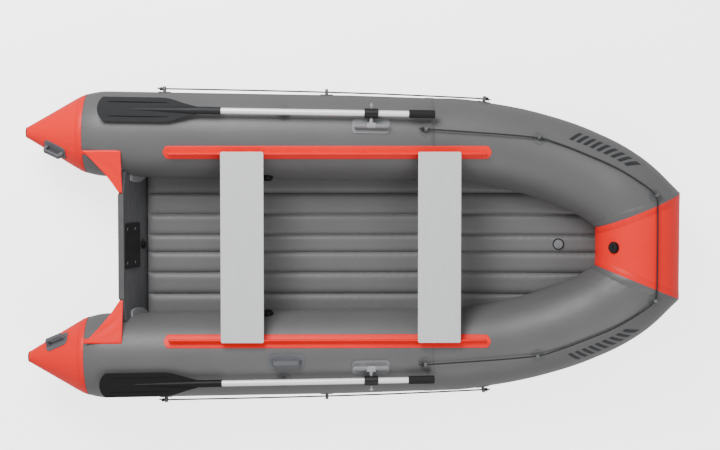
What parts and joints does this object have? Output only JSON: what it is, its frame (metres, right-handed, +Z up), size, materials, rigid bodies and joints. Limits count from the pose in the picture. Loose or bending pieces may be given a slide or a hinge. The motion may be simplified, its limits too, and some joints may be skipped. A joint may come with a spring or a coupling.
{
  "type": "inflatable dinghy",
  "caption": "Open inflatable tender with side tubes, pointed stern cones, raked transom, inflatable floor, sliding bench seats and stowed oars.",
  "frame": {"origin": "middle of the boat on the ground, under the keel guards, centred along its length and width", "axes": "+X to the bow, +Y to port, +Z up"},
  "size_m": [3.3682, 1.6466, 0.5783],
  "materials": {
    "hull_fabric": "satin",
    "floor_fabric": "satin",
    "red_fabric": "satin",
    "guard_rubber": "matte",
    "grey_plastic": "matte",
    "black_plastic": "matte",
    "valve_grey": "matte",
    "blade_plastic": "matte",
    "handle_rubber": "matte",
    "transom_wood": "satin painted",
    "seat_wood": "satin painted",
    "track_plastic": "matte",
    "shaft_aluminium": "satin",
    "steel": "brushed",
    "rope": "woven"
  },
  "bodies": {
    "hull": {"bow_rope": "rope", "bow_rope_eyes": "grey_plastic", "bow_tube": "red_fabric", "bulkheads": "hull_fabric", "carry_handle_starboard": "handle_rubber", "cone_caps": "guard_rubber", "cone_handles": "handle_rubber", "drain_flange": "black_plastic", "drain_tether": "rope", "floor_lower_skin": "hull_fabric", "floor_upper_skin": "floor_fabric", "floor_webs": "hull_fabric", "keel_guards": "guard_rubber", "lifeline_eyes": "grey_plastic", "lifeline_port": "rope", "lifeline_starboard": "rope", "motor_plate_inner": "black_plastic", "motor_plate_outer": "black_plastic", "oar_clips": "grey_plastic", "oarlock_base_port": "grey_plastic", "oarlock_base_starboard": "grey_plastic", "oarlock_rods": "steel", "seat_rail_port": "red_fabric", "seat_rail_starboard": "red_fabric", "stern_cone_port": "red_fabric", "stern_cone_starboard": "red_fabric", "tow_eye": "grey_plastic", "transom_board": "transom_wood", "transom_gussets": "red_fabric", "transom_holders": "grey_plastic", "transom_screws": "steel", "transom_trim": "black_plastic", "tube_port_aft": "hull_fabric", "tube_port_fore": "hull_fabric", "tube_starboard_aft": "hull_fabric", "tube_starboard_fore": "hull_fabric", "valve_bodies": "black_plastic"},
    "bench_rear": {"bench_rear_board": "seat_wood", "bench_rear_tracks": "track_plastic"},
    "bench_front": {"bench_front_board": "seat_wood", "bench_front_tracks": "track_plastic"},
    "cap_port": {"valve_cap_port": "black_plastic"},
    "cap_starboard": {"valve_cap_starboard": "black_plastic"},
    "cap_bow": {"valve_cap_bow": "black_plastic"},
    "cap_floor": {"valve_cap_floor": "valve_grey"},
    "plug": {"drain_plug": "black_plastic"},
    "oar_port": {"oarlock_block_port": "black_plastic", "oarlock_ring_port": "steel", "oar_collar_port": "black_plastic", "oar_shaft_upper_port": "shaft_aluminium", "oar_shaft_lower_port": "shaft_aluminium", "oar_blade_port": "blade_plastic", "oar_grip_port": "black_plastic"},
    "oar_starboard": {"oarlock_block_starboard": "black_plastic", "oarlock_ring_starboard": "steel", "oar_collar_starboard": "black_plastic", "oar_shaft_upper_starboard": "shaft_aluminium", "oar_shaft_lower_starboard": "shaft_aluminium", "oar_blade_starboard": "blade_plastic", "oar_grip_starboard": "black_plastic"}
  },
  "joints": [
    {"name": "bench_rear_slide", "type": "slide", "parent": "hull", "child": "bench_rear", "axis": [1, 0, 0], "range_m": [-0.28, 0.35]},
    {"name": "bench_front_slide", "type": "slide", "parent": "hull", "child": "bench_front", "axis": [1, 0, 0], "range_m": [-0.35, 0.13]},
    {"name": "oar_port_raise", "type": "hinge", "parent": "hull", "child": "oar_port", "pos_m": [0.09793, 0.61291, 0.483], "axis": [0.9999, -0.0163, 0], "range_deg": [0, 90]},
    {"name": "oar_starboard_raise", "type": "hinge", "parent": "hull", "child": "oar_starboard", "pos_m": [0.09793, -0.61291, 0.483], "axis": [-0.9999, -0.0163, 0], "range_deg": [0, 90]},
    {"name": "cap_port_turn", "type": "hinge", "parent": "hull", "child": "cap_port", "pos_m": [-0.43357, 0.341, 0.31731], "axis": [-0.0155, -0.9509, 0.309], "range_deg": [0, 90]},
    {"name": "cap_starboard_turn", "type": "hinge", "parent": "hull", "child": "cap_starboard", "pos_m": [-0.43357, -0.341, 0.31731], "axis": [-0.0155, 0.9509, 0.309], "range_deg": [0, 90]},
    {"name": "cap_bow_turn", "type": "hinge", "parent": "hull", "child": "cap_bow", "pos_m": [1.31331, 0, 0.51929], "axis": [-0.6947, 0, 0.7193], "range_deg": [0, 90]},
    {"name": "cap_floor_turn", "type": "hinge", "parent": "hull", "child": "cap_floor", "pos_m": [1.08706, 0, 0.21233], "axis": [-0.1386, 0, 0.9903], "range_deg": [0, 90]},
    {"name": "drain_plug_turn", "type": "hinge", "parent": "hull", "child": "plug", "pos_m": [-1.0934, 0, 0.15829], "axis": [0.9659, 0, 0.2588], "range_deg": [0, 90]}
  ]
}
